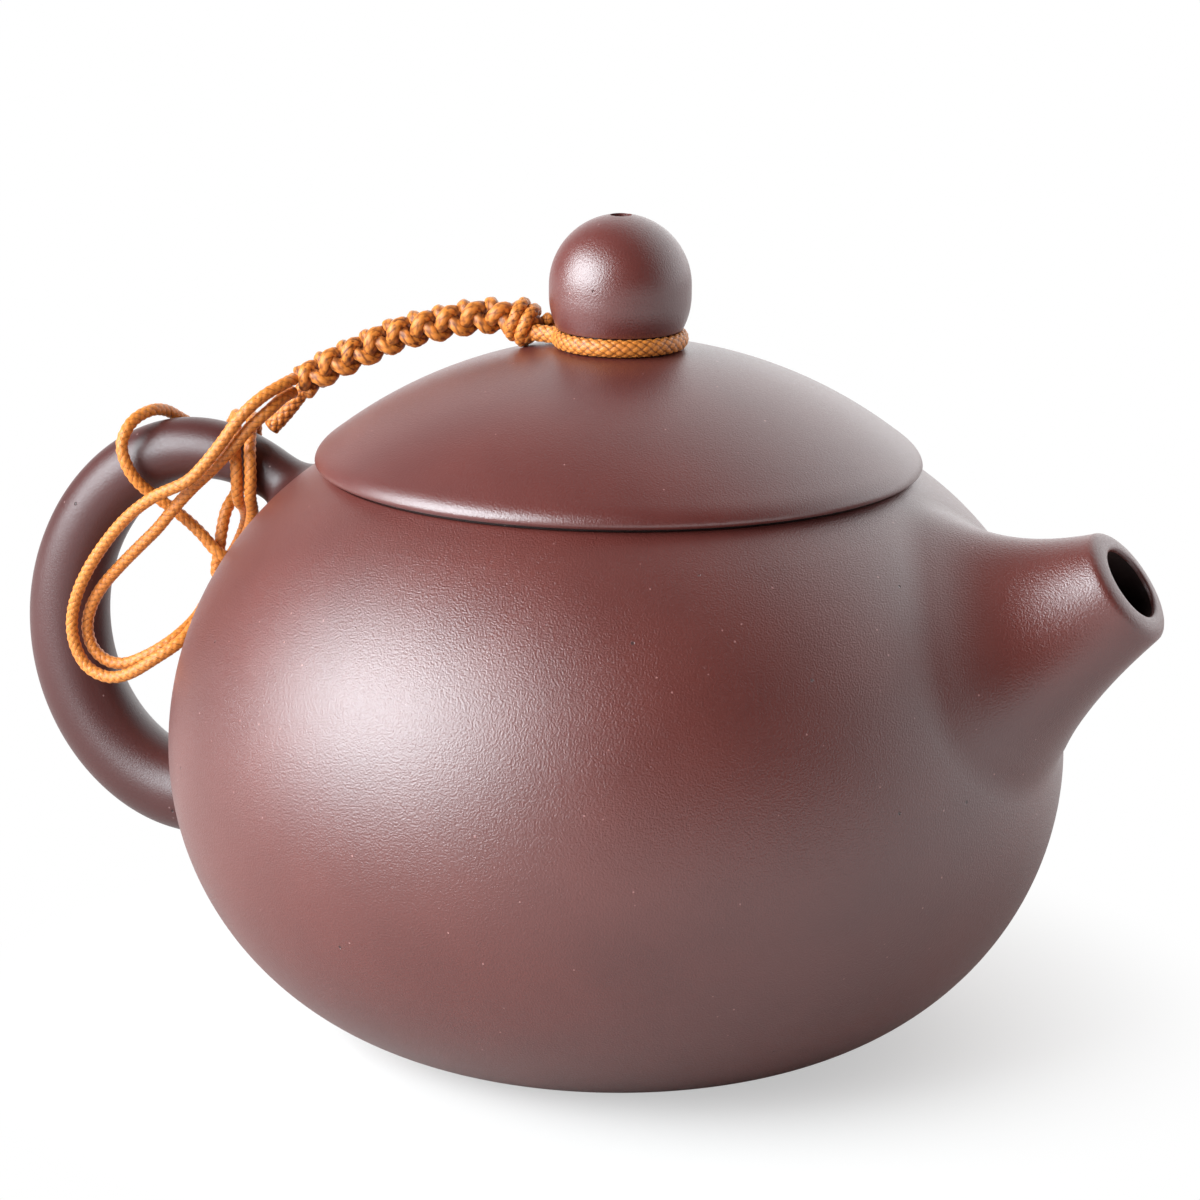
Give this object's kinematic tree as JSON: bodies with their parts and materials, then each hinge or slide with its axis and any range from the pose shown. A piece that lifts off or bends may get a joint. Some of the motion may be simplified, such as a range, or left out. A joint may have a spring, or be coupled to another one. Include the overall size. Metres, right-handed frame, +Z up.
{
  "type": "yixing teapot",
  "caption": "Round unglazed clay teapot with a short tapered spout, an ear handle and a loose domed lid that a knotted cord ties to the handle.",
  "frame": {"origin": "middle of the foot, on the table", "axes": "+Z up through the knob, +X toward the spout, -X toward the handle"},
  "size_m": [0.1255, 0.092, 0.0843],
  "materials": {
    "clay": "matte",
    "cord": "matte"
  },
  "bodies": {
    "pot": {"pot_wall": "clay", "base_disc": "clay", "mouth_ring": "clay", "spout": "clay", "strainer": "clay", "handle": "clay", "near_drop": "cord", "far_drop": "cord", "near_wrap": "cord", "far_wrap": "cord"},
    "tether": {"neck_loop": "cord", "knot_chain": "cord", "chain_tail": "cord"},
    "lid": {"lid_dome": "clay", "lid_flange": "clay", "knob": "clay"}
  },
  "joints": [
    {"name": "lid_lift", "type": "slide", "parent": "pot", "child": "tether", "axis": [0, 0, 1], "range_m": [0, 0.03], "deforming": ["near_drop", "far_drop"]},
    {"name": "lid_turn", "type": "hinge", "parent": "tether", "child": "lid", "pos_m": [0, 0, 0.0585], "axis": [0, 0, 1], "continuous": true}
  ]
}
